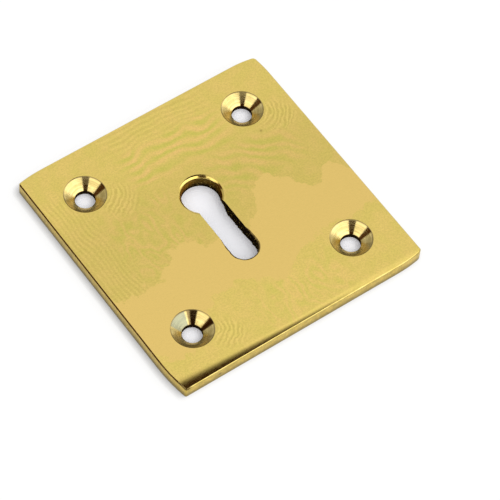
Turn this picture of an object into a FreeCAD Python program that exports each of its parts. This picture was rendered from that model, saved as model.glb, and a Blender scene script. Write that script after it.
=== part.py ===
import FreeCAD, Part
import os
from math import atan2, cos, radians, sin, tan

# Keyhole escutcheon: one square plate of solid brass with a keyhole through its middle
# and a countersunk screw hole near each corner.
# Millimetres. The flat back lies on Z = 0, the polished face looks up, and the origin is
# the middle of the back. The round head of the keyhole points to +Y, which is up when the
# plate is on a door. Front is -Y, back is +Y, left is -X and right is +X.

# Plate
plate_width = 50.0            # along X
plate_height = 50.0           # along Y
plate_thickness = 2.5
face_arris_radius = 0.25      # the soft edge that polishing leaves round the face
back_edge_break = 0.1         # the burr taken off round the back

# Polishing lets some sides fall away in a long shallow curve before they reach a corner.
# Each fall has its depth at the corner, and the length of side over which it builds up.
fall_length = 5.0
left_side_fall_length = 7.0
left_side_front_fall = 0.75
front_side_right_fall = 0.5
right_side_back_fall = 0.45
back_side_right_fall = 0.6
back_side_left_fall = 0.5
corner_radius = 0.4
front_right_corner_radius = 0.8

# Screw holes, for 3.5 mm countersunk wood screws
screw_spacing_x = 33.0
screw_spacing_y = 32.3
screw_centre_x = -0.15        # the pattern was drilled a little off the plate's middle
screw_centre_y = 0.25
screw_bore_diameter = 3.6
countersink_diameter = 7.5
countersink_angle = 100.0     # whole angle of the cone

# Keyhole: a round head for the key's barrel, a straight slot for its bit, and a foot that
# a slightly wider cutter has left at the slot's end
head_diameter = 6.9
head_centre_y = 5.5
mouth_width = 0.55            # how far the head's mouth opens at the face, all round
mouth_angle = 90.0            # whole angle of the mouth's cone
mouth_blend_radius = 0.8      # polished turn from the mouth's cone into the head's wall
slot_width = 4.9
foot_width = 5.06
foot_start_y = -4.8           # middle of the cutter where the wider foot starts
keyhole_end_y = -9.75         # lowest point of the keyhole

# How far each cutting tool runs past the two faces of the plate
tool_overrun = 2.0


def point(x, y, z=0.0):
    return FreeCAD.Vector(x, y, z)


def falling_curve(start, end, side):
    """An arc that leaves a side tangent to it at start and reaches the corner at end."""
    run = end - start
    along = side.dot(run)
    inward = run - side * along
    depth = inward.Length
    turn = 2 * atan2(depth, along)
    radius = along / sin(turn)
    half_run = side * (radius * sin(turn / 2))
    half_fall = inward * (radius * (1 - cos(turn / 2)) / depth)
    return Part.Arc(start, start + half_run + half_fall, end).toShape()


def side_edges(first_corner, last_corner, first_straight, last_straight):
    """One side of the outline: a straight run, with a falling curve at each end that has one."""
    side = (last_straight - first_straight).normalize()
    edges = [Part.makeLine(first_straight, last_straight)]
    if first_straight != first_corner:
        edges.append(falling_curve(first_straight, first_corner, side * -1))
    if last_straight != last_corner:
        edges.append(falling_curve(last_straight, last_corner, side))
    return edges


def outline_corners():
    """The outline's sharp corners, anticlockwise from front left, with their radii."""
    half_x, half_y = plate_width / 2, plate_height / 2
    return [
        (point(-half_x + left_side_front_fall, -half_y), corner_radius),
        (point(half_x, -half_y + front_side_right_fall), front_right_corner_radius),
        (point(half_x - right_side_back_fall, half_y - back_side_right_fall), corner_radius),
        (point(-half_x, half_y - back_side_left_fall), corner_radius),
    ]


def plate_outline():
    """The closed outline of the plate, with its four corners still sharp."""
    half_x, half_y = plate_width / 2, plate_height / 2
    front_left, front_right, back_right, back_left = [spot for spot, _ in outline_corners()]
    edges = side_edges(front_left, front_right,
                       front_left, point(half_x - fall_length, -half_y))
    edges += side_edges(front_right, back_right,
                        front_right, point(half_x, half_y - fall_length))
    edges += side_edges(back_right, back_left,
                        point(half_x - fall_length, half_y),
                        point(-half_x + fall_length, half_y))
    edges += side_edges(back_left, front_left,
                        back_left, point(-half_x, -half_y + left_side_fall_length))
    return Part.Wire(Part.__sortEdges__(edges))


def edges_at_height(solid, height):
    """The edges of a solid that lie flat at one height."""
    slack = 1e-6
    return [edge for edge in solid.Edges
            if abs(edge.BoundBox.ZMin - height) < slack
            and abs(edge.BoundBox.ZMax - height) < slack]


def upright_edge_at(solid, spot):
    """The edge that stands on one corner of the outline."""
    middle = spot + point(0, 0, plate_thickness / 2)
    return min(solid.Edges, key=lambda edge: (edge.CenterOfMass - middle).Length)


def blank_plate():
    """The plate before it is pierced: round corners, polished arris, broken back edge."""
    blank = Part.Face(plate_outline()).extrude(point(0, 0, plate_thickness))
    for spot, radius in outline_corners():
        blank = blank.makeFillet(radius, [upright_edge_at(blank, spot)])
    blank = blank.makeFillet(face_arris_radius, edges_at_height(blank, plate_thickness))
    return blank.makeChamfer(back_edge_break, edges_at_height(blank, 0.0))


def turned_cutter(bore_radius, rim_radius, half_angle, x, y):
    """A cutter turned about Z: a straight bore that opens into a cone at the face."""
    slope = tan(radians(half_angle))
    cone_start = plate_thickness - (rim_radius - bore_radius) / slope
    top = plate_thickness + tool_overrun
    profile = Part.makePolygon([
        point(0, 0, -tool_overrun),
        point(bore_radius, 0, -tool_overrun),
        point(bore_radius, 0, cone_start),
        point(rim_radius + tool_overrun * slope, 0, top),
        point(0, 0, top),
        point(0, 0, -tool_overrun),
    ])
    cutter = Part.Face(profile).revolve(point(0, 0), point(0, 0, 1), 360)
    cutter.translate(point(x, y))
    return cutter, edges_at_height(cutter, cone_start)


def screw_cutters():
    """One countersunk cutter for each screw."""
    bore_radius = screw_bore_diameter / 2
    rim_radius = countersink_diameter / 2
    cutters = []
    for side_x in (-1, 1):
        for side_y in (-1, 1):
            x = screw_centre_x + side_x * screw_spacing_x / 2
            y = screw_centre_y + side_y * screw_spacing_y / 2
            cutter, _ = turned_cutter(bore_radius, rim_radius, countersink_angle / 2, x, y)
            cutters.append(cutter)
    return cutters


def head_cutter():
    """The keyhole's head: its bore, the cone of its mouth, and the round turn between them."""
    bore_radius = head_diameter / 2
    cutter, turn = turned_cutter(bore_radius, bore_radius + mouth_width, mouth_angle / 2,
                                 0, head_centre_y)
    return cutter.makeFillet(mouth_blend_radius, turn)


def bar_cutter(width, low_y, high_y):
    """A flat-sided cutter along the middle of the plate, between two heights along Y."""
    depth = plate_thickness + 2 * tool_overrun
    return Part.makeBox(width, high_y - low_y, depth, point(-width / 2, low_y, -tool_overrun))


def round_cutter(diameter, y):
    """A straight round cutter on the middle line of the plate."""
    depth = plate_thickness + 2 * tool_overrun
    return Part.makeCylinder(diameter / 2, depth, point(0, y, -tool_overrun))


def keyhole_cutter():
    """The whole keyhole: turned head, straight slot, and the foot with its round ends."""
    foot_end_y = keyhole_end_y + foot_width / 2
    slot = bar_cutter(slot_width, foot_start_y, head_centre_y)
    foot = bar_cutter(foot_width, foot_end_y, foot_start_y)
    ends = [round_cutter(foot_width, foot_start_y), round_cutter(foot_width, foot_end_y)]
    return head_cutter().multiFuse([slot, foot] + ends).removeSplitter()


def escutcheon_plate():
    """The finished plate: the blank, pierced by the keyhole and the four screw holes."""
    return blank_plate().cut([keyhole_cutter()] + screw_cutters())


os.makedirs("parts", exist_ok=True)
plate = escutcheon_plate()
plate.exportStep("parts/escutcheon_plate.step")
print("escutcheon_plate: solids", len(plate.Solids), "valid", plate.isValid())
print("volume mm3", round(plate.Volume, 2), "box", plate.optimalBoundingBox(True, False))
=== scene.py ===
# %% [markdown]
# # A polished brass keyhole plate
#
# The real object is one square plate of brass, 50 mm across and 2.5 mm thick. It covers the
# keyhole of a cabinet lock. It has been polished on its face, countersunk for four screws and
# pierced with a keyhole. This lesson loads the measured plate as a fixed frame, models a finer
# plate in the same place with edit-mode operators and modifiers, gives each surface the finish
# that its tool left on it, and lights it with a soft studio.

from functools import reduce
from math import cos, hypot, pi, radians, sin, tan

import bmesh
import bpy
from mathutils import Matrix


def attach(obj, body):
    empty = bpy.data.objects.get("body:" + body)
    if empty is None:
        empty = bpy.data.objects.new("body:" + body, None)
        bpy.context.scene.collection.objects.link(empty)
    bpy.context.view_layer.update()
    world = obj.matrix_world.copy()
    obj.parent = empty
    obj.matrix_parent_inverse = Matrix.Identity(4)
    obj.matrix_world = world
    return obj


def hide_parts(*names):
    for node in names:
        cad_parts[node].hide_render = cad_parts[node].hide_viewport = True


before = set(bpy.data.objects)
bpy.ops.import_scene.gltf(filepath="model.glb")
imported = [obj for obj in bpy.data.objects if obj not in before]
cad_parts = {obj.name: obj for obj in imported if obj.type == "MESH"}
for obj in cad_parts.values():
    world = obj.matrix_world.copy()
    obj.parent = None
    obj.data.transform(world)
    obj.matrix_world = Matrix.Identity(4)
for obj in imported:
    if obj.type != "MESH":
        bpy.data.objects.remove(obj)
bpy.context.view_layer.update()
print("nodes in the frame:", sorted(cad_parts))

# %% [markdown]
# ## Sizes
#
# The frame is in metres. Workshop sizes are easier to read in millimetres, so each one is
# written in millimetres and multiplied once. They are the sizes of the measured plate: the
# finer plate has to stand exactly where the measured one stands.

# %% Sizes of the plate
MM = 0.001
HALF_SIDE = 25.0 * MM
THICKNESS = 2.5 * MM
ARRIS_RADIUS = 0.25 * MM
BACK_BREAK = 0.1 * MM

# Each fall: the axis its side gives way along, which side that is, which end of the side it
# runs towards, its length, and its depth at the corner
FALLS = [
    ("X", -1, -1, 7.0 * MM, 0.75 * MM),
    ("Y", -1, +1, 5.0 * MM, 0.50 * MM),
    ("X", +1, +1, 5.0 * MM, 0.45 * MM),
    ("Y", +1, +1, 5.0 * MM, 0.60 * MM),
    ("Y", +1, -1, 5.0 * MM, 0.50 * MM),
]
CORNER_RADIUS = 0.4 * MM
FRONT_RIGHT_RADIUS = 0.8 * MM

SCREW_MIDDLE = (-0.15, 0.25)   # in millimetres, as the finishes are
SCREW_HALF = (16.5, 16.15)     # half the spacing across and up, in millimetres
SCREW_SPOTS = [((SCREW_MIDDLE[0] + SCREW_HALF[0] * sx) * MM,
                (SCREW_MIDDLE[1] + SCREW_HALF[1] * sy) * MM)
               for sx in (-1, 1) for sy in (-1, 1)]
SCREW_BORE = 1.8 * MM
COUNTERSINK = 3.75 * MM
COUNTERSINK_HALF_ANGLE = radians(50.0)

HEAD_RADIUS = 3.45 * MM
HEAD_Y = 5.5 * MM
MOUTH_WIDTH = 0.55 * MM
MOUTH_HALF_ANGLE = radians(50.0)   # 45 as turned, a little flatter where the cloth caught it
MOUTH_BLEND = 0.8 * MM
# The mouth's worn rim, in millimetres: outwards from where the cone ends, and above the face
MOUTH_LIP = [(-0.08, -0.067), (0.104, -0.03), (0.26, 0.005)]
SLOT_WIDTH = 4.9 * MM
FOOT_WIDTH = 5.06 * MM
FOOT_START_Y = -4.8 * MM
KEYHOLE_END_Y = -9.75 * MM
OVERRUN = 1.0 * MM
ROUND_STEPS = 128

# %% [markdown]
# ## Picking by place
#
# By hand, one would click on the edges to work on. In a script the same edges are picked by
# where they are. An operator works on everything that is selected, so each pick starts from
# nothing.

# %% Helpers for picking and editing
def leave():
    """Back to object mode."""
    bpy.ops.object.mode_set(mode="OBJECT")


def keep_place():
    """Applies an object's place, so that its points are counted from the plate's own origin."""
    bpy.ops.object.transform_apply(location=True, rotation=False, scale=False)


def only(obj):
    """Makes one object the selected and active one, in object mode."""
    if bpy.context.mode != "OBJECT":
        leave()
    bpy.ops.object.select_all(action="DESELECT")
    obj.select_set(True)
    bpy.context.view_layer.objects.active = obj


def pick(obj, kind, wanted):
    """Enters edit mode with only the vertices, edges or faces for which wanted() is true."""
    only(obj)
    mesh = obj.data
    for parts in (mesh.vertices, mesh.edges, mesh.polygons):
        parts.foreach_set("select", [False] * len(parts))
    if kind == "VERT":
        chosen = [vertex for vertex in mesh.vertices if wanted(vertex.co)]
    elif kind == "EDGE":
        chosen = [edge for edge in mesh.edges
                  if wanted(*(mesh.vertices[i].co for i in edge.vertices))]
    else:
        chosen = [face for face in mesh.polygons if wanted(face.center, face.normal)]
    for part in chosen:
        part.select = True
        for i in getattr(part, "vertices", ()):
            mesh.vertices[i].select = True
    bpy.ops.object.mode_set(mode="EDIT")
    bpy.ops.mesh.select_mode(type=kind)
    return len(chosen)


def extrude(x, y, z):
    bpy.ops.mesh.extrude_region_move(TRANSFORM_OT_translate={"value": (x, y, z)})


def apply_modifier(obj, kind, **settings):
    """Adds a modifier, sets it and applies it."""
    only(obj)
    modifier = obj.modifiers.new(kind.title(), kind)
    for name, value in settings.items():
        setattr(modifier, name, value)
    bpy.ops.object.modifier_apply(modifier=modifier.name)


def push(obj, direction, amount, weight_at, **settings):
    """Moves vertices by amount times the weight that weight_at() gives each."""
    group = obj.vertex_groups.new(name="push")
    for vertex in obj.data.vertices:
        weight = weight_at(vertex.co)
        if weight > 0:
            group.add([vertex.index], weight, "REPLACE")
    settings = {"mid_level": 0.0, **settings}
    apply_modifier(obj, "DISPLACE", direction=direction, strength=amount,
                   vertex_group=group.name, **settings)
    obj.vertex_groups.clear()


def ramp(value, start, end):
    """0 at start, 1 at end, straight between them."""
    return min(1.0, max(0.0, (value - start) / (end - start)))

# %% [markdown]
# ## The blank
#
# The plate starts as a square of wire. Its sides are divided, because polishing has let some of
# them fall away in a shallow curve before they reach a corner, and a straight edge of two points
# can't bend. Each fall is a push that grows with the square of the distance along the side.

# %% The outline
bpy.ops.object.select_all(action="DESELECT")
bpy.ops.mesh.primitive_plane_add(size=2 * HALF_SIDE, location=(0, 0, 0))
plate = bpy.context.object
plate.name = "polished_plate"
plate.data.name = "polished_plate"
bpy.ops.object.mode_set(mode="EDIT")
bpy.ops.mesh.select_all(action="SELECT")
bpy.ops.mesh.delete(type="ONLY_FACE")
bpy.ops.mesh.select_all(action="SELECT")
bpy.ops.mesh.subdivide(number_cuts=49)
leave()


def fall_weight(axis, side, towards, length):
    moved, along = (0, 1) if axis == "X" else (1, 0)

    def weight(co):
        if co[moved] * side < HALF_SIDE - 0.5 * MM:
            return 0.0
        return ramp(co[along] * towards, HALF_SIDE - length, HALF_SIDE) ** 2
    return weight


weights = [(axis, -side * depth, fall_weight(axis, side, towards, length))
           for axis, side, towards, length, depth in FALLS]
for axis, amount, weight in weights:
    push(plate, axis, amount, weight)
print("outline points:", len(plate.data.vertices))

# %% [markdown]
# The four corners are rounded with a vertex bevel. The front right corner has been rubbed
# rounder than the others. Then the outline is filled, and extruded up to the polished face.

# %% Corners and thickness
for sx in (-1, 1):
    for sy in (-1, 1):
        radius = FRONT_RIGHT_RADIUS if (sx, sy) == (1, -1) else CORNER_RADIUS
        corner = min((v.co.copy() for v in plate.data.vertices),
                     key=lambda co: -(co.x * sx + co.y * sy))
        pick(plate, "VERT", lambda co: (co - corner).length < 1e-7)
        bpy.ops.mesh.bevel(offset=radius, segments=8, affect="VERTICES")
        leave()
only(plate)
bpy.ops.object.mode_set(mode="EDIT")
bpy.ops.mesh.select_all(action="SELECT")
bpy.ops.mesh.edge_face_add()
extrude(0, 0, THICKNESS)
bpy.ops.mesh.select_all(action="SELECT")
bpy.ops.mesh.normals_make_consistent(inside=False)
leave()
print("blank faces:", len(plate.data.polygons))

# %% [markdown]
# The upper edge of the real plate, its arris, isn't sharp. Polishing has taken it down to a
# narrow slope with two soft bends, so the bevel gets a flat profile. At the back only the burr
# has been taken off, which is one small chamfer.

# %% Arris and back edge
ARRIS_WIDTH = 0.8 * ARRIS_RADIUS
ARRIS_PROFILE = 0.29


def level_edges(height):
    return lambda a, b: abs(a.z - height) < 1e-7 and abs(b.z - height) < 1e-7


pick(plate, "EDGE", level_edges(THICKNESS))
bpy.ops.mesh.bevel(offset=ARRIS_WIDTH, segments=3, profile=ARRIS_PROFILE, affect="EDGES")
pick(plate, "EDGE", level_edges(0.0))
bpy.ops.mesh.bevel(offset=BACK_BREAK, segments=1, affect="EDGES")
leave()
print("faces with the arris:", len(plate.data.polygons))

# %% [markdown]
# ## The rolled-off front side
#
# A polishing wheel takes more metal where it runs off an edge. Along the front side it has rubbed
# the face down in a shallow curve, narrow at the right and widest at the left corner, and there
# the plate shows a dark band. The face is cut into narrow strips first. Then each point sinks by
# a depth that grows with the square of its distance into the band.

# %% Roll-off along the front side
ROLL_LEAST = 1.25 * MM        # width of the roll-off along most of the side
ROLL_WIDEST = 2.95 * MM       # and at the front left corner
ROLL_SLOPE = 0.176            # how steeply the face falls at the very edge
ROLL_GENTLE = 0.080           # the same, near the right corner
ROLL_LINES = 14
ROLL_COLUMNS = 24
ROLL_START_X = -24.0 * MM


def strip(low_y):
    return lambda centre, normal: (abs(centre.z - THICKNESS) < 1e-7 and normal.z > 0.9
                                   and centre.y < low_y)


for line in range(ROLL_LINES):
    y = -HALF_SIDE + ARRIS_RADIUS + (ROLL_WIDEST - ARRIS_RADIUS) * (line + 1) / ROLL_LINES
    pick(plate, "FACE", strip(1.0))
    bpy.ops.mesh.bisect(plane_co=(0, y, 0), plane_no=(0, 1, 0))
    leave()
for line in range(ROLL_COLUMNS):
    x = ROLL_START_X + (HALF_SIDE - ROLL_START_X) * ((line + 0.5) / ROLL_COLUMNS) ** 1.7
    pick(plate, "FACE", strip(-HALF_SIDE + ROLL_WIDEST))
    bpy.ops.mesh.bisect(plane_co=(x, 0, 0), plane_no=(1, 0, 0))
    leave()


def roll_depth(co):
    """How far the face has been rubbed down at a point."""
    if co.z < THICKNESS / 2:
        return 0.0
    width = ROLL_LEAST + (ROLL_WIDEST - ROLL_LEAST) * ramp(co.x, 0.0, -HALF_SIDE) ** 1.2
    slope = ROLL_GENTLE + (ROLL_SLOPE - ROLL_GENTLE) * ramp(co.x, 0.5 * HALF_SIDE, 0.1 * HALF_SIDE)
    reach = max(0.0, width - max(0.0, co.y + HALF_SIDE))
    return 0.5 * slope * reach ** 2 / width


deepest = 0.5 * ROLL_SLOPE * ROLL_WIDEST
push(plate, "Z", -deepest, lambda co: roll_depth(co) / deepest)
print("faces with the roll-off:", len(plate.data.polygons))

# %% [markdown]
# ## The screw holes
#
# Each real hole was drilled and then countersunk with one conical cutter. Here a single bar has
# the shape of both: a cylinder whose top is extruded and widened, as on a lathe. It is made once,
# copied to the four places, and each copy is taken out of the plate with a boolean.

# %% Cutters and screw holes
def cylinder(radius, low_z, high_z, x, y):
    """An upright round bar, selected and active."""
    if bpy.context.mode != "OBJECT":
        leave()
    bpy.ops.object.select_all(action="DESELECT")
    bpy.ops.mesh.primitive_cylinder_add(
        vertices=ROUND_STEPS, radius=radius, depth=high_z - low_z,
        location=(x, y, (high_z + low_z) / 2))
    bar = bpy.context.object
    keep_place()
    return bar


def flare(bar, x, y, steps):
    """Extrudes the top of a bar through (radius, height) steps, as on a lathe."""
    radius, height = steps[0]
    pick(bar, "FACE", lambda centre, normal: normal.z > 0.9)
    for next_radius, next_height in steps[1:]:
        extrude(0, 0, next_height - height)
        bpy.ops.transform.resize(value=(next_radius / radius, next_radius / radius, 1),
                                 center_override=(x, y, next_height))
        radius, height = next_radius, next_height
    leave()


def cut(target, cutter):
    """Takes the cutter's shape out of the target, then throws the cutter away."""
    apply_modifier(target, "BOOLEAN", operation="DIFFERENCE", object=cutter, solver="EXACT")
    bpy.data.objects.remove(cutter)


cone_depth = (COUNTERSINK - SCREW_BORE) / tan(COUNTERSINK_HALF_ANGLE)
drill = cylinder(SCREW_BORE, -OVERRUN, THICKNESS - cone_depth, 0, 0)
flare(drill, 0, 0, [(SCREW_BORE, THICKNESS - cone_depth),
                    (COUNTERSINK + OVERRUN * tan(COUNTERSINK_HALF_ANGLE), THICKNESS + OVERRUN)])
for x, y in SCREW_SPOTS:
    only(drill)
    bpy.ops.object.duplicate()
    bpy.ops.transform.translate(value=(x, y, 0))
    keep_place()
    cut(plate, bpy.context.object)
bpy.data.objects.remove(drill)
print("faces with the screw holes:", len(plate.data.polygons))

# %% [markdown]
# ## The keyhole
#
# The real keyhole is a round head, bored and then turned out to a bright mouth, and a slot that
# was pierced and filed down from it to a slightly wider foot. The head is another turned bar. The
# slot is a bar with a grid of points on its walls, so that they can be uneven as the file left
# them. At the foot the rim is worn round. Beside the head the slot was cut on the slant.

# %% Keyhole
turn_reach = MOUTH_BLEND * tan(MOUTH_HALF_ANGLE / 2)
turn_start = THICKNESS - MOUTH_WIDTH / tan(MOUTH_HALF_ANGLE) - turn_reach
mouth = [(HEAD_RADIUS, turn_start)]
for step in range(1, 9):
    angle = MOUTH_HALF_ANGLE * step / 8
    mouth.append((HEAD_RADIUS + MOUTH_BLEND * (1 - cos(angle)),
                  turn_start + MOUTH_BLEND * sin(angle)))
rim_radius = HEAD_RADIUS + MOUTH_WIDTH
mouth += [(rim_radius + out * MM, THICKNESS + up * MM) for out, up in MOUTH_LIP]
mouth.append((mouth[-1][0], THICKNESS + OVERRUN))
bar = cylinder(HEAD_RADIUS, -OVERRUN, turn_start, 0, HEAD_Y)
flare(bar, 0, HEAD_Y, mouth)
cut(plate, bar)


SLOT_RIM = 0.34 * MM           # how far the worn rim of the foot is rounded back
SLANT = 0.6 * MM               # how much wider the slot is at the back, beside the head
SLANT_START_Y = 1.0 * MM
SLANT_END_Y = 3.2 * MM
WALL_DEPTH = 0.34 * MM         # between the walls' high and low spots
WALL_GRAIN = 0.55 * MM
RIM_HEIGHTS = (0.22, 0.13, 0.07, 0.03, -0.02)   # millimetres below the face


def slot_cutter():
    """The slot and its wider foot as one bar, with a grid of points on its side walls."""
    foot_radius = FOOT_WIDTH / 2
    end_y = KEYHOLE_END_Y + foot_radius
    only(plate)
    bpy.ops.object.select_all(action="DESELECT")
    bpy.ops.mesh.primitive_circle_add(vertices=96, radius=foot_radius, location=(0, end_y, 0))
    bar = bpy.context.object
    keep_place()
    pick(bar, "VERT", lambda co: co.y > end_y + 1e-7)
    bpy.ops.mesh.delete(type="VERT")
    pick(bar, "VERT", lambda co: co.y > end_y - 1e-7)
    shoulder = FOOT_START_Y + (foot_radius ** 2 - (SLOT_WIDTH / 2) ** 2) ** 0.5
    runs = [(end_y, FOOT_START_Y, 16), (FOOT_START_Y, shoulder, 3), (shoulder, HEAD_Y, 60)]
    for number, (start, end, steps) in enumerate(runs):
        for _ in range(steps):
            extrude(0, (end - start) / steps, 0)
            if number == 1:
                shrink = (SLOT_WIDTH / FOOT_WIDTH) ** (1 / steps)
                bpy.ops.transform.resize(value=(shrink, 1, 1), center_override=(0, 0, 0))
    bpy.ops.mesh.select_all(action="SELECT")
    bpy.ops.mesh.edge_face_add()
    bpy.ops.transform.translate(value=(0, 0, -OVERRUN))
    heights = [THICKNESS * step / 10 for step in range(10)]
    heights += [THICKNESS - below * MM for below in RIM_HEIGHTS]
    heights.append(THICKNESS + OVERRUN)
    level = -OVERRUN
    for height in heights:
        extrude(0, 0, height - level)
        level = height
    bpy.ops.mesh.select_all(action="SELECT")
    bpy.ops.mesh.normals_make_consistent(inside=False)
    leave()
    return bar


def in_slant(co):
    """The slot widens at the right, towards the plate's back, where it meets the head."""
    if co.x <= 0:
        return 0.0
    return ramp(co.y, SLANT_START_Y, SLANT_END_Y) * ramp(co.z, THICKNESS, 0)


def in_rim(co):
    """The rim flares a little, more round the foot, where it is worn."""
    flare_here = ramp(co.z - THICKNESS, -0.24 * MM, 0.02 * MM) ** 3
    return flare_here * (0.25 + 0.75 * ramp(co.y, FOOT_START_Y + MM, FOOT_START_Y - MM))


def in_walls(co):
    """The walls are uneven, more towards the plate's back."""
    return 0.12 + 0.88 * ramp(co.z, THICKNESS * 1.02, THICKNESS * 0.3)


file_marks = bpy.data.textures.new("file marks", "CLOUDS")
file_marks.noise_scale = WALL_GRAIN
file_marks.noise_depth = 3
bar = slot_cutter()
push(bar, "X", SLANT, in_slant)
push(bar, "NORMAL", SLOT_RIM, in_rim)
push(bar, "NORMAL", WALL_DEPTH, in_walls, texture=file_marks, texture_coords="LOCAL",
     mid_level=0.5)
cut(plate, bar)
print("faces with the keyhole:", len(plate.data.polygons))

# %% [markdown]
# The rim of a countersink isn't a knife edge either: the cloth has rounded it by a tenth of a
# millimetre, and that draws a thin line round each hole.

# %% Rims of the countersinks
RIM_ROUNDING = 0.09 * MM


def on_rim(a, b):
    """True for an edge where a countersink meets the face."""
    if abs(a.z - THICKNESS) > 1e-6 or abs(b.z - THICKNESS) > 1e-6:
        return False
    return any(abs(hypot(p.x - x, p.y - y) - COUNTERSINK) < 2e-6 and
               abs(hypot(q.x - x, q.y - y) - COUNTERSINK) < 2e-6
               for x, y in SCREW_SPOTS for p, q in [(a, b)])


picked = pick(plate, "EDGE", on_rim)
bpy.ops.mesh.bevel(offset=RIM_ROUNDING, segments=3, profile=0.5, affect="EDGES")
leave()
print("rim edges rounded:", picked)

# %% [markdown]
# Smooth shading hides the facets of the round walls, while bends of more than 28 degrees stay
# crisp. Weighted normals keep the face flat right up to its bevels.

# %% Smooth shading
CRISP_BEND = radians(28)
only(plate)
bpy.ops.object.shade_smooth_by_angle(angle=CRISP_BEND)
apply_modifier(plate, "WEIGHTED_NORMAL", mode="FACE_AREA", weight=90, keep_sharp=True)


def open_edges(obj):
    """How many edges don't have exactly two faces, and the volume."""
    mesh = bmesh.new()
    mesh.from_mesh(obj.data)
    count = sum(1 for edge in mesh.edges if not edge.is_manifold)
    volume = mesh.calc_volume()
    mesh.free()
    return count, volume


loose, volume = open_edges(plate)
print("edges that are not closed, volume in mm3:", loose, round(volume / MM ** 3, 1))

# %% [markdown]
# ## Finishes
#
# One plate of brass shows nine different surfaces, because each was left by another tool:
#
# - the face, lapped flat and then polished;
# - the outer edges, sheared and drawn over with a file, so they stay satin;
# - the arris between them, worn smooth;
# - the countersinks, turned with one cutter, so they carry rings;
# - the bores, drilled and never polished, painted near black as shade;
# - the keyhole's walls, pierced and filed, rough, in painted shade with a few bright specks;
# - the mouth of the keyhole's head, turned and then caught by the polishing cloth;
# - the rim of the keyhole's foot, worn and brown;
# - the back, which nobody sees, still dull from the rolling mill.
#
# Every pattern below is worked out from the place on the plate in millimetres, so its size can
# be read straight from the numbers.

# %% Helpers for shader nodes
def node(tree, kind, **values):
    """Adds a node; a value goes to the input of that name, or else to the setting."""
    made = tree.nodes.new(kind)
    for name, value in values.items():
        if name in made.inputs:
            made.inputs[name].default_value = value
        else:
            setattr(made, name, value)
    return made


def feed(tree, target, value):
    """Gives an input a number, a vector, a colour, or another node's output."""
    if not isinstance(value, (int, float, tuple)):
        tree.links.new(value, target)
    elif target.type == "RGBA":
        target.default_value = value + (1.0,)
    else:
        target.default_value = value


def maths(tree, operation, *values, clamp=False):
    made = node(tree, "ShaderNodeMath", operation=operation, use_clamp=clamp)
    for slot, value in zip(made.inputs, values):
        feed(tree, slot, value)
    return made.outputs[0]


def plus(tree, *values):
    return reduce(lambda so_far, value: maths(tree, "ADD", so_far, value), values)


def times(tree, *values):
    return reduce(lambda so_far, value: maths(tree, "MULTIPLY", so_far, value), values)


def largest(tree, *values):
    return reduce(lambda so_far, value: maths(tree, "MAXIMUM", so_far, value), values)


def vectors(tree, operation, *values):
    """A vector worked out from others; for a length, distance or dot product, the number."""
    made = node(tree, "ShaderNodeVectorMath", operation=operation)
    for slot, value in zip(made.inputs, values):
        feed(tree, slot, value)
    number = operation in ("LENGTH", "DISTANCE", "DOT_PRODUCT")
    return made.outputs["Value" if number else "Vector"]


def split_up(tree, vector):
    """The X, Y and Z of a vector."""
    made = node(tree, "ShaderNodeSeparateXYZ")
    feed(tree, made.inputs[0], vector)
    return list(made.outputs)


def spread(tree, value, low, high, to_low=0.0, to_high=1.0):
    """Takes value from low..high to to_low..to_high, smoothly and without overshoot."""
    made = node(tree, "ShaderNodeMapRange", interpolation_type="SMOOTHSTEP")
    for slot, number in zip(made.inputs, (value, low, high, to_low, to_high)):
        feed(tree, slot, number)
    return made.outputs["Result"]


def mixed(tree, mask, first, second, mode="MIX"):
    """A colour between first (mask 0) and second (mask 1)."""
    made = node(tree, "ShaderNodeMix", data_type="RGBA", blend_type=mode)
    feed(tree, made.inputs[0], mask)
    feed(tree, made.inputs[6], first)
    feed(tree, made.inputs[7], second)
    return made.outputs[2]


def noise(tree, place, size, detail=2.0, roughness=0.5):
    """A cloudy value round 0.5, with spots about as large as size."""
    made = node(tree, "ShaderNodeTexNoise", Detail=detail, Roughness=roughness)
    feed(tree, made.inputs["Vector"], place)
    feed(tree, made.inputs["Scale"], maths(tree, "DIVIDE", 1.0, size))
    return made.outputs["Fac"]


def place_in_mm(tree):
    """The point on the plate, in millimetres from the middle of its back."""
    coordinates = node(tree, "ShaderNodeTexCoord")
    scaled = node(tree, "ShaderNodeVectorMath", operation="SCALE", Scale=1000.0)
    tree.links.new(coordinates.outputs["Object"], scaled.inputs[0])
    return scaled.outputs[0]


def new_group(name, inputs, outputs):
    """An empty node group with its sockets, and the nodes at its two ends."""
    group = bpy.data.node_groups.new(name, "ShaderNodeTree")
    for label, kind in inputs:
        group.interface.new_socket(name=label, in_out="INPUT", socket_type="NodeSocket" + kind)
    for label, kind in outputs:
        group.interface.new_socket(name=label, in_out="OUTPUT", socket_type="NodeSocket" + kind)
    return group, node(group, "NodeGroupInput").outputs, node(group, "NodeGroupOutput").inputs


def give(tree, made, **values):
    """Feeds a node's inputs by name; an underscore stands for a space."""
    for name, value in values.items():
        feed(tree, made.inputs[name.replace("_", " ")], value)


def use(tree, group, **values):
    """Adds a group to a material, and feeds its inputs by name."""
    made = node(tree, "ShaderNodeGroup", node_tree=group)
    give(tree, made, **values)
    return made.outputs

# %% [markdown]
# ### Effects that several finishes share
#
# - **Brass tone** drifts between two close colours. Brass is never one even yellow: where the
#   polish has cut deeper it is pinker, where it has tarnished a little it is greener.
# - **Drag marks** are a noise stretched along the way that the tool or the cloth moved.
# - **Turned rings** depend only on the distance from the nearest turned centre. Folding the
#   plate over its two middle lines brings all four screw holes to one, so one centre serves.
# - **Specks** are small scattered spots with ragged edges.

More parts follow.
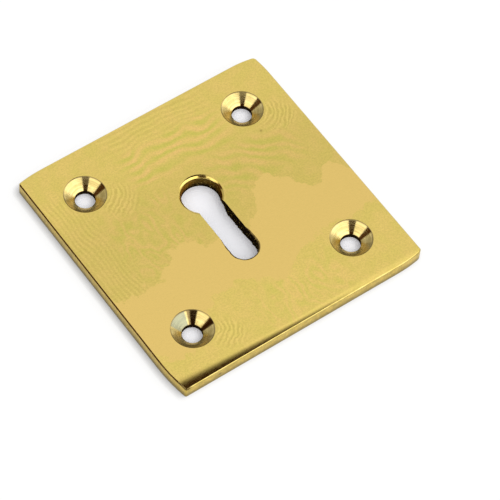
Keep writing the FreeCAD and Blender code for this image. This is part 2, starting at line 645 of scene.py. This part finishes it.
# %% Shared effects
TONE, way_in, way_out = new_group(
    "brass tone", [("Place", "Vector"), ("Pale", "Color"), ("Deep", "Color"), ("Size", "Float")],
    [("Colour", "Color")])
cloud = spread(TONE, noise(TONE, way_in["Place"], way_in["Size"], 3.0, 0.6), 0.32, 0.68)
feed(TONE, way_out["Colour"], mixed(TONE, cloud, way_in["Pale"], way_in["Deep"]))

DRAG, way_in, way_out = new_group(
    "drag marks", [("Place", "Vector"), ("Stretch", "Vector")], [("Mask", "Float")])
drawn = vectors(DRAG, "MULTIPLY", way_in["Place"], way_in["Stretch"])
feed(DRAG, way_out["Mask"], spread(DRAG, noise(DRAG, drawn, 1.0, 3.0, 0.6), 0.3, 0.7))

RINGS, way_in, way_out = new_group(
    "turned rings", [("Place", "Vector"), ("Centre", "Vector"), ("Half spacing", "Vector"),
                     ("Pitch", "Float")],
    [("Height", "Float"), ("Radius", "Float"), ("Offset", "Vector")])
from_middle = vectors(RINGS, "SUBTRACT", way_in["Place"], way_in["Centre"])
folded = vectors(RINGS, "ABSOLUTE", from_middle)
folded = vectors(RINGS, "SUBTRACT", folded, way_in["Half spacing"])
radius = vectors(RINGS, "LENGTH", vectors(RINGS, "MULTIPLY", folded, (1.0, 1.0, 0.0)))
wobble = noise(RINGS, folded, 2.5, 1.0)
along_r = node(RINGS, "ShaderNodeCombineXYZ")
feed(RINGS, along_r.inputs[0], maths(RINGS, "DIVIDE", radius, way_in["Pitch"]))
feed(RINGS, along_r.inputs[1], wobble)
feed(RINGS, way_out["Height"], noise(RINGS, along_r.outputs[0], 1.0, 2.0, 0.7))
feed(RINGS, way_out["Radius"], radius)
side = vectors(RINGS, "SIGN", from_middle)
feed(RINGS, way_out["Offset"], vectors(RINGS, "MULTIPLY", folded, side))

SPECKS, way_in, way_out = new_group(
    "specks", [("Place", "Vector"), ("Size", "Float"), ("Share", "Float")], [("Mask", "Float")])
ragged = noise(SPECKS, way_in["Place"], way_in["Size"], 3.0, 0.7)
limit = maths(SPECKS, "SUBTRACT", 0.75, times(SPECKS, way_in["Share"], 0.3))
feed(SPECKS, way_out["Mask"], spread(SPECKS, ragged, maths(SPECKS, "SUBTRACT", limit, 0.02),
                                     plus(SPECKS, limit, 0.02)))
print("effect groups:", sorted(group.name for group in bpy.data.node_groups))

# %% [markdown]
# ### A material to start from
#
# Each finish starts as metal through and through, so Metallic is 1 on the shader itself. The
# height of a pattern goes through a Bump node, whose Distance is the real depth of the marks in
# metres. Most finishes are one tone with the marks of one tool, so one helper makes them.

# %% A new metal
def new_metal(name):
    """A metal with its tree, its shader and the place on the plate."""
    material = bpy.data.materials.new(name)
    material.use_nodes = True
    tree = material.node_tree
    shader = tree.nodes["Principled BSDF"]
    give(tree, shader, Metallic=1.0)
    return material, tree, shader, place_in_mm(tree)


def without_shine(shader):
    """Takes the shine off the metal, so only its dark colour shows."""
    shader.inputs["Metallic"].default_value = 0.0
    shader.inputs["Specular IOR Level"].default_value = 0.0


def marks(tree, shader, height, depth):
    """Lets the light catch a pattern: depth is how deep it is cut, in metres."""
    bump = node(tree, "ShaderNodeBump", Strength=1.0, Distance=depth)
    feed(tree, bump.inputs["Height"], height)
    tree.links.new(bump.outputs[0], shader.inputs["Normal"])


def worked_metal(name, pale, deep, size, stretch, roughness, depth):
    """A metal in two tones, with one tool's marks: its parts, its tone, and the marks' mask."""
    material, tree, shader, place = new_metal(name)
    tone = use(tree, TONE, Place=place, Pale=pale, Deep=deep, Size=size)["Colour"]
    mask = use(tree, DRAG, Place=place, Stretch=stretch)["Mask"]
    if isinstance(roughness, tuple):
        roughness = spread(tree, mask, 0.0, 1.0, *roughness)
    give(tree, shader, Base_Color=tone, Roughness=roughness)
    marks(tree, shader, mask, depth * MM)
    return material, tree, shader, place, tone, mask


def screw_rings(tree, place, pitch):
    """The rings round each screw hole."""
    return use(tree, RINGS, Place=place, Centre=SCREW_MIDDLE + (0.0,),
               Half_spacing=SCREW_HALF + (0.0,), Pitch=pitch)


BRASS_GREEN = (0.705, 0.556, 0.146)
BRASS_WARM = (0.755, 0.562, 0.165)
BRASS_RUBBED = (0.806, 0.576, 0.181)
BRASS_DEEP = (0.660, 0.500, 0.120)

# %% [markdown]
# ### The polished face
#
# Lapping leaves fine lines, and each part of the face was lapped another way. At the left they
# run up and down, less than a millimetre apart. Along the back they run across, fine at the edge
# and wide further in. From the head of the keyhole they fall away to the right. Beside three of
# the screw holes they bend round the hole. Left of the keyhole they only eddy. Each family is a
# sine of a height, all of them stirred by the same two noises, and each fades out at its limits.
#
# Some lines are light and dark. The wide ones are pink and green instead, because there the film
# of dried polish is thicker.

# %% Lapping lines
def limits(tree, value, low, high, fade):
    """1 between low and high, fading to 0 outside."""
    rise = spread(tree, value, low - fade, low + fade)
    fall = spread(tree, value, high - fade, high + fade, 1.0, 0.0)
    return times(tree, rise, fall)


def blob(tree, place, x, y, inner, outer):
    """1 within inner millimetres of a spot on the face, 0 beyond outer."""
    flat = vectors(tree, "MULTIPLY", place, (1.0, 1.0, 0.0))
    return spread(tree, vectors(tree, "DISTANCE", flat, (x, y, 0.0)), inner, outer, 1.0, 0.0)


def lapping_lines(tree, place, x, y):
    """Two sets of lines from -1 to 1: the light and dark ones, the pink and green ones."""
    stir = times(tree, noise(tree, place, 7.0, 1.0), 2.6)
    ripple = noise(tree, place, 1.5, 1.0)

    def family(height, strength, waviness, *reaches):
        """Lines one unit of height apart, where all the reaches are 1."""
        stirred = plus(tree, stir, times(tree, ripple, waviness))
        phase = times(tree, plus(tree, height, stirred), 2 * pi)
        return times(tree, maths(tree, "SINE", phase), strength, *reaches)

    def across(x_pitch, y_pitch):
        """A height that grows by one over each pitch."""
        return plus(tree, maths(tree, "DIVIDE", x, x_pitch), maths(tree, "DIVIDE", y, y_pitch))

    holes = screw_rings(tree, place, 1.0)["Radius"]
    beside = plus(tree, *[blob(tree, place, *spot) for spot in (
        (-12.2, 12.0, 2.0, 4.2), (20.8, 12.0, 2.0, 4.2), (-12.0, -20.0, 1.8, 3.6))])
    plain = plus(
        tree,
        family(across(0.82, 40.0), 0.7, 0.25, limits(tree, x, -26.0, -18.5, 2.2),
               limits(tree, y, -9.0, 19.0, 2.5)),
        family(across(40.0, 1.05), 0.6, 0.5, limits(tree, x, -9.0, 12.0, 2.5),
               limits(tree, y, 19.5, 26.0, 1.0)),
        family(maths(tree, "DIVIDE", holes, 0.78), 1.3, 1.6, beside))
    stretched = vectors(tree, "MULTIPLY", place, (1.0, 0.45, 1.0))
    eddies = times(tree, noise(tree, stretched, 3.0, 1.0), 4.5)
    tinted = plus(
        tree,
        family(across(25.0, 2.1), 1.1, 0.35, limits(tree, x, -8.0, 11.5, 2.0),
               limits(tree, y, 12.0, 19.5, 1.0)),
        family(across(3.4, 2.5), 1.0, 0.5, limits(tree, x, 4.0, 20.0, 2.5),
               limits(tree, y, 2.5, 10.5, 2.0)),
        family(eddies, 0.6, 1.0, limits(tree, x, -18.0, -5.0, 2.0),
               limits(tree, y, -4.0, 10.0, 2.5)),
        family(eddies, 0.5, 0.6, limits(tree, x, -5.0, 12.0, 3.0),
               limits(tree, y, -24.0, -15.0, 2.0)))
    return plain, tinted


# %% [markdown]
# A hard rub with the cloth has taken the lines out again in a patch across the lower half. It
# reaches up at both sides of the slot, and its metal is a little pinker. Its limits are two
# lines across the plate, each with a few humps, made ragged by a noise.

# %% Rubbed patch
def hump(tree, x, centre, width, height):
    """A smooth hump over x."""
    from_centre = maths(tree, "DIVIDE", maths(tree, "SUBTRACT", x, centre), width)
    fall = times(tree, from_centre, from_centre, -1.0)
    return times(tree, maths(tree, "EXPONENT", fall), height)


def rubbed_patch(tree, place, x, y):
    """1 in the rubbed patch, 0 outside."""
    ragged = maths(tree, "SUBTRACT", noise(tree, place, 2.2, 3.0, 0.6), 0.5)
    ragged = times(tree, ragged, 6.0)
    upper = plus(tree, ragged, -5.2, hump(tree, x, -9.0, 4.0, 5.0),
                 hump(tree, x, 11.0, 5.0, 8.6), hump(tree, x, 22.0, 2.5, 4.4))
    lower = plus(tree, ragged, -12.0, hump(tree, x, -20.0, 7.0, -8.0),
                 hump(tree, x, 2.5, 4.5, -4.0))
    under = spread(tree, maths(tree, "SUBTRACT", y, upper), -0.3, 0.3, 1.0, 0.0)
    over = spread(tree, maths(tree, "SUBTRACT", y, lower), -0.4, 0.4)
    return times(tree, under, over)


# %% Polished face
face, tree, shader, place, tone, _ = worked_metal(
    "polished face", BRASS_GREEN, BRASS_WARM, 3.0, (1.2, 7.0, 1.0), (0.06, 0.11), 0.0003)
x, y, _ = split_up(tree, place)
rubbed = rubbed_patch(tree, place, x, y)
lapped = maths(tree, "SUBTRACT", 1.0, rubbed)
plain, tinted = lapping_lines(tree, place, x, y)
patchy = spread(tree, noise(tree, place, 3.5, 2.0), 0.35, 0.62, 0.55, 1.0)
patchy = times(tree, patchy, lapped, 0.5)
plain = plus(tree, times(tree, plain, patchy), 0.5)
tinted = plus(tree, times(tree, tinted, patchy), 0.5)
# Painted light: the face is made lighter towards its back and its front edge, darker between them.
painted_light_bands = largest(tree, spread(tree, y, 6.0, 18.0), spread(tree, y, -16.0, -2.0, 1.0, 0.0))
painted_light_tint = mixed(tree, painted_light_bands, (0.955, 0.955, 0.95), (1.05, 1.05, 1.05))
tone = mixed(tree, 1.0, tone, painted_light_tint, "MULTIPLY")
coloured = mixed(tree, rubbed, tone, BRASS_RUBBED)
pit = times(tree, blob(tree, place, 16.4, 10.8, 0.1, 0.4), 0.45)
coloured = mixed(tree, pit, coloured, (0.25, 0.17, 0.05))
for mask, low, high in (
        (plain, (0.90, 0.90, 0.87), (1.09, 1.09, 1.11)),
        (tinted, (0.875, 0.985, 0.785), (1.11, 1.0, 1.15))):
    coloured = mixed(tree, 1.0, coloured, mixed(tree, mask, low, high), "MULTIPLY")
grain = spread(tree, noise(tree, place, 0.32, 3.0, 0.65), 0.3, 0.7)
lift = mixed(tree, grain, (0.925, 0.93, 0.90), (1.075, 1.065, 1.08))
grained = mixed(tree, times(tree, rubbed, 0.75), lift, (1.0, 1.0, 1.0))
give(tree, shader, Base_Color=mixed(tree, 1.0, coloured, grained, "MULTIPLY"))
print("nodes in the polished face:", len(tree.nodes))

# %% [markdown]
# ### The satin edges
#
# The outer edges were filed, not polished. Short marks run up and down them, and they are painted
# darker towards their lower edge: painted shade. They scatter light, so they show the ground as a
# soft, slightly greyer gold. Something hard has nicked the front one near its left end.

# %% Satin edges
NICK = (-17.4, -25.0, 1.25)    # in millimetres
edge, tree, shader, place, tone, filed = worked_metal(
    "satin edge", (0.70, 0.500, 0.098), (0.52, 0.372, 0.060), 1.1, (4.5, 4.5, 0.9),
    (0.28, 0.42), 0.004)
streaked = mixed(tree, filed, (0.86, 0.88, 0.84), (1.12, 1.12, 1.16))
coloured = mixed(tree, 1.0, tone, streaked, "MULTIPLY")
height = split_up(tree, place)[2]
# Painted shade: the edge is darkened towards its lower edge, up to a ragged limit; the nick is a
# real dark mark in the same mask.
ragged = plus(tree, height, noise(tree, place, 0.7, 3.0))
lower_shade_and_nick = spread(tree, ragged, 0.65, 2.1, 1.0, 0.0)
nick = spread(tree, vectors(tree, "DISTANCE", place, NICK), 0.2, 0.55, 1.0, 0.0)
lower_shade_and_nick = largest(tree, lower_shade_and_nick, nick)
give(tree, shader, Base_Color=mixed(tree, lower_shade_and_nick, coloured, (0.30, 0.215, 0.045)))
print("nodes in the satin edge:", len(tree.nodes))

# %% [markdown]
# ### The arris
#
# The narrow slope between the face and the edge is worn by handling and by every polish since,
# so it shines, but less clearly than the face. At the front left corner it is painted dark brown:
# a painted dark reflection.

# %% Arris
arris, tree, shader, place, tone, _ = worked_metal(
    "worn arris", (0.64, 0.50, 0.165), (0.50, 0.38, 0.10), 2.5, (2.0, 2.0, 2.0),
    (0.1, 0.18), 0.001)
# Painted dark reflection: the arris is darkened to near-black brown round the front left corner.
painted_dark_corner = times(tree, blob(tree, place, -24.7, -24.6, 1.0, 2.0), 0.85)
give(tree, shader, Base_Color=mixed(tree, painted_dark_corner, tone, (0.09, 0.055, 0.02)))
print("nodes in the worn arris:", len(tree.nodes))

# %% [markdown]
# ### The turned countersinks
#
# One conical cutter made each of them. It chattered a little, so the rings are uneven: some
# wide and soft, some fine. The rings spread each reflection towards and away from the hole's
# middle, but hardly round it. That is why a turned cone shows bright and dark sectors. The
# front part of each is painted greyer and darker, as painted shade, and Metallic is a little
# lower there. A dark ring at the bore's lip and at the rim is painted shade too. In the front
# left countersink a greyish bloom has dulled the upper left as well, and two narrow brown
# stripes are painted dark reflections.

# %% Turned countersinks
BLOOMED_HOLE = (SCREW_MIDDLE[0] - SCREW_HALF[0], SCREW_MIDDLE[1] - SCREW_HALF[1])
TOWARDS_FRONT = (-0.58, -0.81, 0.0)


def sector(tree, rings, x, y, outer, inner):
    """1 round one direction from the hole's axis, between the cosines of two angles."""
    leaning = vectors(tree, "DOT_PRODUCT", rings["Offset"], (x, y, 0.0))
    return spread(tree, maths(tree, "DIVIDE", leaning, rings["Radius"]), outer, inner)


turned, tree, shader, place = new_metal("turned countersink")
rings = screw_rings(tree, place, 0.3)
fine = screw_rings(tree, place, 0.05)
tone = use(tree, TONE, Place=place, Pale=(0.66, 0.52, 0.21), Deep=(0.57, 0.44, 0.155),
           Size=1.5)["Colour"]
ring_mask = spread(tree, rings["Height"], 0.35, 0.65)
lined = mixed(tree, ring_mask, (0.80, 0.79, 0.78), (1.12, 1.13, 1.16))
coloured = mixed(tree, 1.0, tone, lined, "MULTIPLY")
in_bloomed = blob(tree, place, *BLOOMED_HOLE, 3.6, 3.9)
bloom = times(tree, sector(tree, rings, -0.31, 0.95, 0.84, 0.89), in_bloomed)
# Painted dark reflections: two narrow radial stripes in the front left countersink.
painted_dark_streaks = largest(tree, sector(tree, rings, 0.523, 0.852, 0.96, 0.98),
                  sector(tree, rings, 0.987, -0.158, 0.984, 0.993))
painted_dark_streaks = times(tree, painted_dark_streaks, in_bloomed, 0.8)
coloured = mixed(tree, painted_dark_streaks, coloured, (0.13, 0.08, 0.03))
coloured = mixed(tree, times(tree, bloom, 0.8), coloured, (0.30, 0.325, 0.235))
# Painted shade: the front part of each countersink is greyed and darkened.
forward = vectors(tree, "DOT_PRODUCT", rings["Offset"], TOWARDS_FRONT)
front_half_shade = mixed(tree, 1.0, coloured, (0.78, 0.76, 0.66), "MULTIPLY")
coloured = mixed(tree, spread(tree, forward, 2.2, 3.0), coloured, front_half_shade)
# Painted shade: dark rings at the bore's lip and at the countersink's rim.
lip = spread(tree, rings["Radius"], 1.8, 1.9, 0.85, 0.0)
rim = spread(tree, rings["Radius"], 3.5, 3.72, 0.0, 0.6)
lip_and_rim_shade = largest(tree, lip, rim)
polish = spread(tree, ring_mask, 0.0, 1.0, 0.12, 0.08)
give(tree, shader, Base_Color=mixed(tree, lip_and_rim_shade, coloured, (0.10, 0.06, 0.02)),
     Metallic=spread(tree, forward, -0.5, 1.2, 1.0, 0.7),
     Roughness=plus(tree, polish, times(tree, bloom, 0.25)),
     Specular_Tint=(0.8, 0.62, 0.36))
marks(tree, shader, plus(tree, rings["Height"], fine["Height"]), 0.0075 * MM)
print("nodes in the turned countersink:", len(tree.nodes))

# %% [markdown]
# ### Bores and keyhole walls
#
# Nothing was polished in there. The bores are painted near black: painted shade. The round head's
# wall was bored. It is painted brown at its top, lighter at the left than at the right, and nearly
# black below: painted light and shade. The slot's walls were filed by hand and painted nearly
# black too, as painted shade, with bright specks where the file last touched.

# %% Bores and keyhole walls
# Painted shade: the bores are nearly black.
bore, _, shader, *_ = worked_metal(
    "drilled bore", (0.030, 0.018, 0.008), (0.012, 0.007, 0.004), 0.6, (1.5, 1.5, 8.0),
    0.55, 0.01)
without_shine(shader)

# Painted shade: the keyhole's walls are nearly black.
pierced, tree, shader, place, tone, scratched = worked_metal(
    "pierced keyhole wall", (0.016, 0.009, 0.004), (0.006, 0.004, 0.002), 0.5, (3.0, 3.0, 1.2),
    (0.3, 0.5), 0.03)
without_shine(shader)
x, y, height = split_up(tree, place)
depth = plus(tree, height, times(tree, scratched, 0.5))
# Painted light and shade: the head's wall is lighter brown at its top, lighter at the left than at
# the right, and nearly black lower down.
in_head = spread(tree, y, 2.6, 3.4)
painted_lit_top = times(tree, spread(tree, depth, 0.5, 1.9), in_head)
far_side = spread(tree, x, -1.0, 1.6)
painted_side_light = mixed(tree, far_side, (0.32, 0.175, 0.035), (0.11, 0.068, 0.016))
coloured = mixed(tree, painted_lit_top, tone, painted_side_light)
sparks = use(tree, SPECKS, Place=place, Size=0.3, Share=0.35)["Mask"]
give(tree, shader, Base_Color=mixed(tree, sparks, coloured, (0.55, 0.42, 0.12)),
     Metallic=largest(tree, painted_lit_top, sparks), Specular_Tint=(0.30, 0.20, 0.08))
print("nodes in the pierced wall:", len(tree.nodes))

# %% [markdown]
# ### The keyhole's mouth and the back
#
# The mouth was turned and then caught by the polishing cloth, so it is bright like the face and
# has faint rings round the keyhole's head. The back is as the mill rolled it: long straight
# marks, a dull skin and a few stains.

# %% Mouth and back
mouth_metal, tree, shader, place = new_metal("turned mouth")
rings = use(tree, RINGS, Place=place, Centre=(0.0, HEAD_Y / MM, 0.0), Half_spacing=(0.0, 0.0, 0.0),
            Pitch=0.15)
tone = use(tree, TONE, Place=place, Pale=BRASS_WARM, Deep=BRASS_DEEP, Size=1.5)["Colour"]
give(tree, shader, Base_Color=tone, Roughness=spread(tree, rings["Height"], 0.3, 0.7, 0.12, 0.22))
marks(tree, shader, rings["Height"], 0.003 * MM)

worn, *_ = worked_metal(
    "worn rim", (0.34, 0.24, 0.08), (0.10, 0.065, 0.022), 0.8, (3.0, 3.0, 3.0),
    (0.3, 0.5), 0.004)

rolled, tree, shader, place, tone, mill = worked_metal(
    "rolled back", (0.62, 0.48, 0.18), (0.50, 0.36, 0.12), 6.0, (0.12, 3.5, 1.0),
    (0.3, 0.42), 0.002)
lined = mixed(tree, mill, (0.90, 0.90, 0.90), (1.08, 1.08, 1.08))
coloured = mixed(tree, 1.0, tone, lined, "MULTIPLY")
stains = times(tree, use(tree, SPECKS, Place=place, Size=5.0, Share=0.45)["Mask"], 0.6)
give(tree, shader, Base_Color=mixed(tree, stains, coloured, (0.26, 0.17, 0.07)))
print("finishes:", sorted(material.name for material in bpy.data.materials))

# %% [markdown]
# ## Giving each surface its finish
#
# A face of the mesh is sorted by where it is and which way it looks.

# %% Sort the faces
FINISHES = {"face": face, "edge": edge, "arris": arris, "turned": turned, "bore": bore,
            "pierced": pierced, "mouth": mouth_metal, "rim": worn, "back": rolled}
for material in FINISHES.values():
    plate.data.materials.append(material)


def finish_of(centre, normal):
    """The name of the finish for a face of the plate."""
    if normal.z < -0.9:
        return "back"
    near = min(hypot(centre.x - x, centre.y - y) for x, y in SCREW_SPOTS)
    if near < COUNTERSINK + 0.05 * MM and normal.z < 0.98:
        return "turned" if normal.z > 0.3 else "bore"
    if abs(centre.x) < 5 * MM and KEYHOLE_END_Y - MM < centre.y < HEAD_Y + 5 * MM:
        if normal.z > 0.98:
            return "face"
        if normal.z < 0.62 or centre.z < THICKNESS - 0.9 * MM:
            return "pierced"
        return "rim" if centre.y < FOOT_START_Y + 1.5 * MM else "mouth"
    if normal.z < 0.3:
        return "edge"
    return "arris" if normal.z < 0.9 else "face"


names = list(FINISHES)
tally = dict.fromkeys(names, 0)
for polygon in plate.data.polygons:
    finish = finish_of(polygon.center, polygon.normal)
    polygon.material_index = names.index(finish)
    tally[finish] += 1
print("faces of each finish:", tally)
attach(plate, "root")
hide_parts("escutcheon_plate")

# %% [markdown]
# ## The ground
#
# The plate lies on a white ground. To the camera and in reflections the ground glows white, and an
# ambient occlusion darkens that glow in the last millimetre or two beside the plate and inside its
# holes: a painted shadow. The occlusion is leaned towards the front right, so the painted shadow
# lies at the left. A share of the ground is plain matt white, which keeps the soft shadow too.
# Under the plate nearly all of it is matt: there it is lit only by what comes through the holes.
# Seen from below the ground is clear, so that the plate's back can be looked at, and it lies a
# fiftieth of a millimetre lower, because two surfaces in one place hide each other.

# %% Ground
GROUND_SIZE = 6.0
GROUND_GAP = 0.02 * MM
SHADOW_REACH = 1.4 * MM
TOWARDS_LIGHT = (0.40, -0.65, 0.64)
UNDER, OPEN = 23.0, 24.0       # millimetres from the plate's middle


def seen(tree):
    """1 for rays from the camera, in reflections and through glass."""
    ray = node(tree, "ShaderNodeLightPath").outputs
    return largest(tree, ray["Is Camera Ray"], ray["Is Glossy Ray"], ray["Is Transmission Ray"])


bpy.ops.object.select_all(action="DESELECT")
bpy.ops.mesh.primitive_plane_add(size=GROUND_SIZE, location=(0, 0, -GROUND_GAP))
floor = bpy.context.object
keep_place()
floor.name = "ground"

paper = bpy.data.materials.new("white ground")
paper.use_nodes = True
tree = paper.node_tree
tree.nodes.clear()
output = node(tree, "ShaderNodeOutputMaterial")
matt = node(tree, "ShaderNodeBsdfDiffuse")
glow = node(tree, "ShaderNodeEmission", Color=(1, 1, 1, 1))
painted_ground_shadow = node(tree, "ShaderNodeAmbientOcclusion", samples=8, Distance=SHADOW_REACH)
lean = node(tree, "ShaderNodeCombineXYZ")
give(tree, lean, **dict(zip("XYZ", TOWARDS_LIGHT)))
feed(tree, painted_ground_shadow.inputs["Normal"], lean.outputs[0])
x, y, _ = split_up(tree, place_in_mm(tree))
reach = largest(tree, maths(tree, "ABSOLUTE", x), maths(tree, "ABSOLUTE", y))
open_ground = spread(tree, reach, UNDER, OPEN)
give(tree, matt, Color=mixed(tree, open_ground, (0.78, 0.78, 0.82), (0.22, 0.22, 0.22)))
share = spread(tree, reach, UNDER, OPEN, 0.28, 0.82)
# Painted shadow: the occlusion darkens the ground's glow beside the plate and in its holes.
level = times(tree, painted_ground_shadow.outputs["AO"], share)
give(tree, glow, Strength=times(tree, seen(tree), level))
add = node(tree, "ShaderNodeAddShader")
tree.links.new(matt.outputs[0], add.inputs[0])
tree.links.new(glow.outputs[0], add.inputs[1])
underside = node(tree, "ShaderNodeMixShader")
feed(tree, underside.inputs[0], node(tree, "ShaderNodeNewGeometry").outputs["Backfacing"])
tree.links.new(add.outputs[0], underside.inputs[1])
tree.links.new(node(tree, "ShaderNodeBsdfTransparent").outputs[0], underside.inputs[2])
tree.links.new(underside.outputs[0], output.inputs["Surface"])
floor.data.materials.append(paper)
print("ground:", GROUND_SIZE, "m across, nodes:", len(tree.nodes))

# %% [markdown]
# ## The studio
#
# Polished brass has no look of its own: it shows the room. The room here is a pale tent with
# soft cards and brown flags in it. Each one is a patch of sky, given by the direction of its
# middle, its half width, and its lower and upper limits, all in degrees. The face looks at a
# broad soft light. A flag overhead makes the dark band of the rolled-off front edge. Two bright
# cards and the dark side where the photographer stood make the sectors in the countersinks.

# %% Studio card
CARD, way_in, way_out = new_group(
    "studio card", [("Direction", "Vector"), ("Azimuth", "Float"), ("Half width", "Float"),
                    ("Low", "Float"), ("High", "Float"), ("Softness", "Float")],
    [("Mask", "Float")])
DEGREE = pi / 180
turn = node(CARD, "ShaderNodeVectorRotate", rotation_type="Z_AXIS")
give(CARD, turn, Vector=way_in["Direction"],
     Angle=times(CARD, way_in["Azimuth"], -DEGREE))
x, y, height = split_up(CARD, turn.outputs[0])
bearing = maths(CARD, "DIVIDE", maths(CARD, "ARCTAN2", y, x), DEGREE)
bearing = maths(CARD, "ABSOLUTE", bearing)
rise = maths(CARD, "DIVIDE", maths(CARD, "ARCSINE", height), DEGREE)


def past(value, start):
    """Rises from 0 to 1 as value passes start, over twice the softness."""
    low = maths(CARD, "SUBTRACT", start, way_in["Softness"])
    high = plus(CARD, start, way_in["Softness"])
    return spread(CARD, value, low, high)


inside = maths(CARD, "SUBTRACT", 1.0, past(bearing, way_in["Half width"]))
above = past(rise, way_in["Low"])
below = maths(CARD, "SUBTRACT", 1.0, past(rise, way_in["High"]))
feed(CARD, way_out["Mask"], times(CARD, inside, above, below))
print("nodes in a studio card:", len(CARD.nodes))

# %% [markdown]
# The tent itself is white to the camera and in reflections. As light on the plate it is a little
# lower, so that a colour renders about as it is written.

# %% Studio
# azimuth, half width, low, high, softness, radiance
CARDS = [
    (51, 62, 35, 68, 4, 0.93),        # broad soft light that the face shows
    (51, 62, 58, 68, 3.5, 0.98),      # its upper part
    (33, 12, 58, 66, 2, 1.12),        # the lamp behind it
    (62, 48, -5, 33, 3, 0.32),        # dark far end of the room
    (-55, 62, 18, 50, 3, 2.3),        # bright card at the front right
    (188, 32, 23, 56, 2.5, 1.9),      # bright card at the left
    (119, 20, -5, 26, 3, 0.60),       # dim gap behind the left
]
# the same, for the flags of brown cloth
FLAGS = [
    (155, 17, 3, 24, 2.5, 0.08),      # at the left
    (144, 13, 15, 44, 2, 0.11),
    (166, 9, 3, 30.5, 1.5, 0.11),
    (226, 28, 26, 38, 2, 0.06),       # the dark side that the camera stands on
    (234, 19, 36, 54, 2, 0.06),
    (8, 56, 65.5, 82, 4, 0.04),       # overhead
]
BROWN_CLOTH = (1.0, 0.45, 0.20)
WHITE = (1.0, 1.0, 1.0)
LIGHT_ON_PLATE = 0.75             # radiance of the bare tent, where it isn't seen
world = bpy.data.worlds.new("studio")
bpy.context.scene.world = world
world.use_nodes = True
tree = world.node_tree
tree.nodes.clear()
output = node(tree, "ShaderNodeOutputWorld")
background = node(tree, "ShaderNodeBackground")
direction = node(tree, "ShaderNodeTexCoord").outputs["Generated"]
ray = node(tree, "ShaderNodeLightPath").outputs
hidden = maths(tree, "SUBTRACT", 1.0, ray["Is Camera Ray"])
light = plus(tree, LIGHT_ON_PLATE, times(tree, seen(tree), 1 - LIGHT_ON_PLATE))
patches = [(card, WHITE) for card in CARDS] + [(flag, BROWN_CLOTH) for flag in FLAGS]
for (azimuth, half_width, low, high, softness, radiance), tint in patches:
    patch = use(tree, CARD, Direction=direction, Azimuth=azimuth, Half_width=half_width, Low=low,
                High=high, Softness=softness)["Mask"]
    patch = times(tree, patch, hidden)
    light = mixed(tree, patch, light, tuple(radiance * part for part in tint))
feed(tree, background.inputs["Color"], light)
tree.links.new(background.outputs[0], output.inputs["Surface"])
print("studio cards and flags:", len(CARDS), len(FLAGS))

# %% [markdown]
# ## The camera
#
# The photograph was taken from the left front, steeply from above, with a long lens.

# %% Camera
SENSOR = 36.0
LENS = 215.73
NEAREST_SEEN = 0.01
CAMERA_PLACE = (-0.179665, -0.220861, 0.428266)
CAMERA_TURN = (33.05267, -3.20644, -35.37065)    # in degrees about X, Y and Z
camera_data = bpy.data.cameras.new("camera")
camera_data.sensor_width = SENSOR
camera_data.lens = LENS
camera_data.clip_start = NEAREST_SEEN
camera = bpy.data.objects.new("camera", camera_data)
camera.location = CAMERA_PLACE
camera.rotation_euler = [radians(angle) for angle in CAMERA_TURN]
bpy.context.scene.collection.objects.link(camera)
bpy.context.scene.camera = camera
bpy.context.scene.view_settings.view_transform = "Standard"
print("camera distance in mm:", round(camera.location.length / MM))
